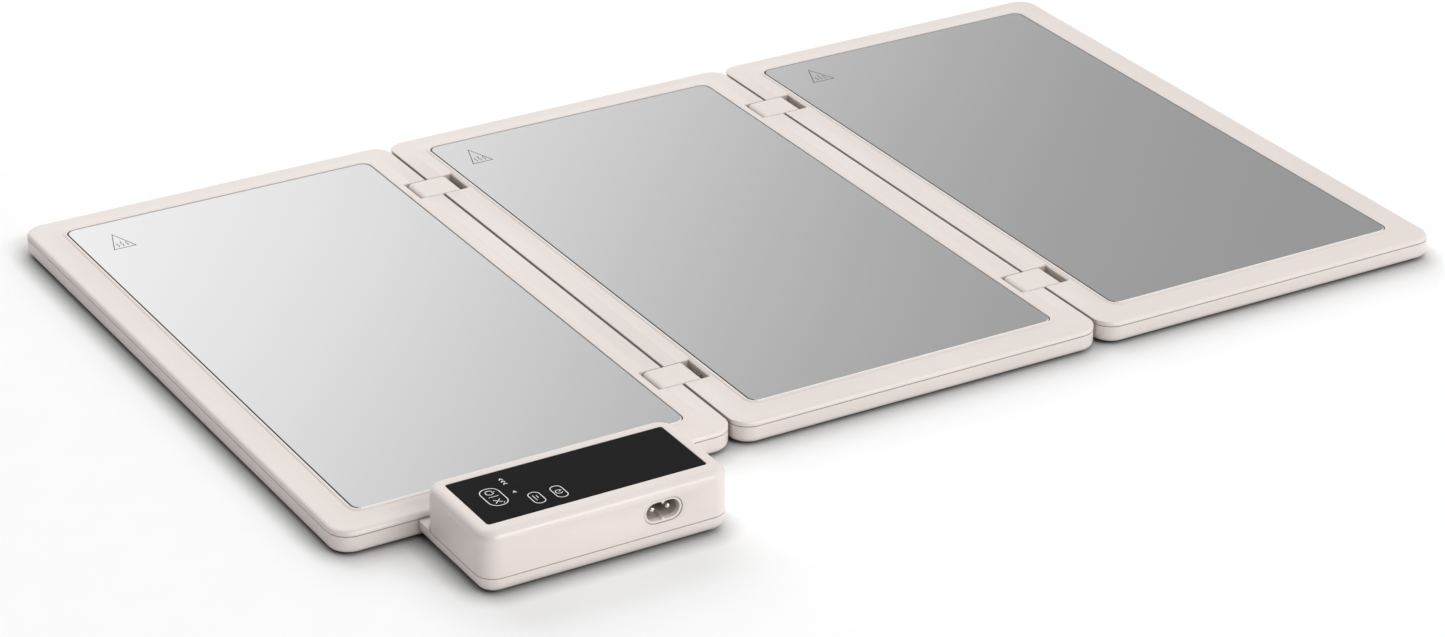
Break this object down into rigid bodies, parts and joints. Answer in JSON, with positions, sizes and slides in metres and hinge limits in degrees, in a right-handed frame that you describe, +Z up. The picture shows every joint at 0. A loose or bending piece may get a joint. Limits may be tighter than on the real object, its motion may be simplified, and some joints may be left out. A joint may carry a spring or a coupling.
{
  "type": "folding food warming tray",
  "caption": "Flat warming tray of rectangular glass-topped heated leaves joined by flush link hinges, folding in a Z, with a low touch-control box and mains inlet at one front edge.",
  "frame": {"origin": "middle of the whole outline (leaves and control box) on the surface that the feet stand on", "axes": "+X along the row of leaves, from the leaf with the control box to the far leaf; +Y from the control box side to the back; +Z up out of the glass"},
  "size_m": [0.5388, 0.38, 0.0275],
  "materials": {
    "shell_plastic": "satin moulded",
    "frame_plastic": "satin moulded",
    "coated_glass": "silver-grey coated, polished",
    "black_glass": "black, satin",
    "gasket_silicone": "matte",
    "foot_silicone": "matte",
    "lead_silicone": "matte",
    "heater_foil": "foil between films",
    "insulation_felt": "felt",
    "cutoff_case": "moulded phenolic",
    "sensor_bead": "epoxy dipped",
    "screw_steel": "zinc plated",
    "pin_steel": "ground",
    "circuit_board": "solder mask",
    "board_parts": "moulded cases",
    "guide_plastic": "milky",
    "inlet_plastic": "moulded",
    "inlet_pin_metal": "nickel plated"
  },
  "bodies": {
    "left_leaf": {"left_lower_shell": "shell_plastic", "left_upper_frame": "frame_plastic", "left_glass": "coated_glass", "left_glass_gasket": "gasket_silicone", "left_heater_film": "heater_foil", "left_insulation_pad": "insulation_felt", "left_thermal_cutoff": "cutoff_case", "left_temperature_sensor": "sensor_bead", "left_leads": "lead_silicone", "left_feet": "foot_silicone", "left_shell_screws": "screw_steel", "left_hinge_pins": "pin_steel", "box_base": "shell_plastic", "box_housing": "frame_plastic", "touch_panel": "black_glass", "light_guide": "guide_plastic", "touch_board": "circuit_board", "power_board": "circuit_board", "power_parts": "board_parts", "inlet_body": "inlet_plastic", "inlet_pins": "inlet_pin_metal", "inlet_leads": "lead_silicone", "board_ribbon": "lead_silicone", "box_screws": "screw_steel", "board_screws": "screw_steel", "bridge_screws": "screw_steel", "box_feet": "foot_silicone"},
    "links_1": {"hinge_links_1": "frame_plastic", "link_leads_1": "lead_silicone"},
    "middle_leaf": {"middle_lower_shell": "shell_plastic", "middle_upper_frame": "frame_plastic", "middle_glass": "coated_glass", "middle_glass_gasket": "gasket_silicone", "middle_heater_film": "heater_foil", "middle_insulation_pad": "insulation_felt", "middle_thermal_cutoff": "cutoff_case", "middle_temperature_sensor": "sensor_bead", "middle_leads": "lead_silicone", "middle_feet": "foot_silicone", "middle_shell_screws": "screw_steel", "middle_hinge_pins": "pin_steel"},
    "links_2": {"hinge_links_2": "frame_plastic", "link_leads_2": "lead_silicone"},
    "right_leaf": {"right_lower_shell": "shell_plastic", "right_upper_frame": "frame_plastic", "right_glass": "coated_glass", "right_glass_gasket": "gasket_silicone", "right_heater_film": "heater_foil", "right_insulation_pad": "insulation_felt", "right_thermal_cutoff": "cutoff_case", "right_temperature_sensor": "sensor_bead", "right_leads": "lead_silicone", "right_feet": "foot_silicone", "right_shell_screws": "screw_steel", "right_hinge_pins": "pin_steel"}
  },
  "joints": [
    {"name": "seam1_left_pivot", "type": "hinge", "parent": "left_leaf", "child": "links_1", "pos_m": [-0.0973, 0.028, 0.008], "axis": [0, -1, 0], "range_deg": [0, 90]},
    {"name": "seam1_right_pivot", "type": "hinge", "parent": "links_1", "child": "middle_leaf", "pos_m": [-0.0827, 0.028, 0.008], "axis": [0, -1, 0], "range_deg": [0, 90]},
    {"name": "seam2_left_pivot", "type": "hinge", "parent": "middle_leaf", "child": "links_2", "pos_m": [0.0827, 0.028, 0.004], "axis": [0, 1, 0], "range_deg": [0, 90]},
    {"name": "seam2_right_pivot", "type": "hinge", "parent": "links_2", "child": "right_leaf", "pos_m": [0.0973, 0.028, 0.004], "axis": [0, 1, 0], "range_deg": [0, 90]}
  ]
}
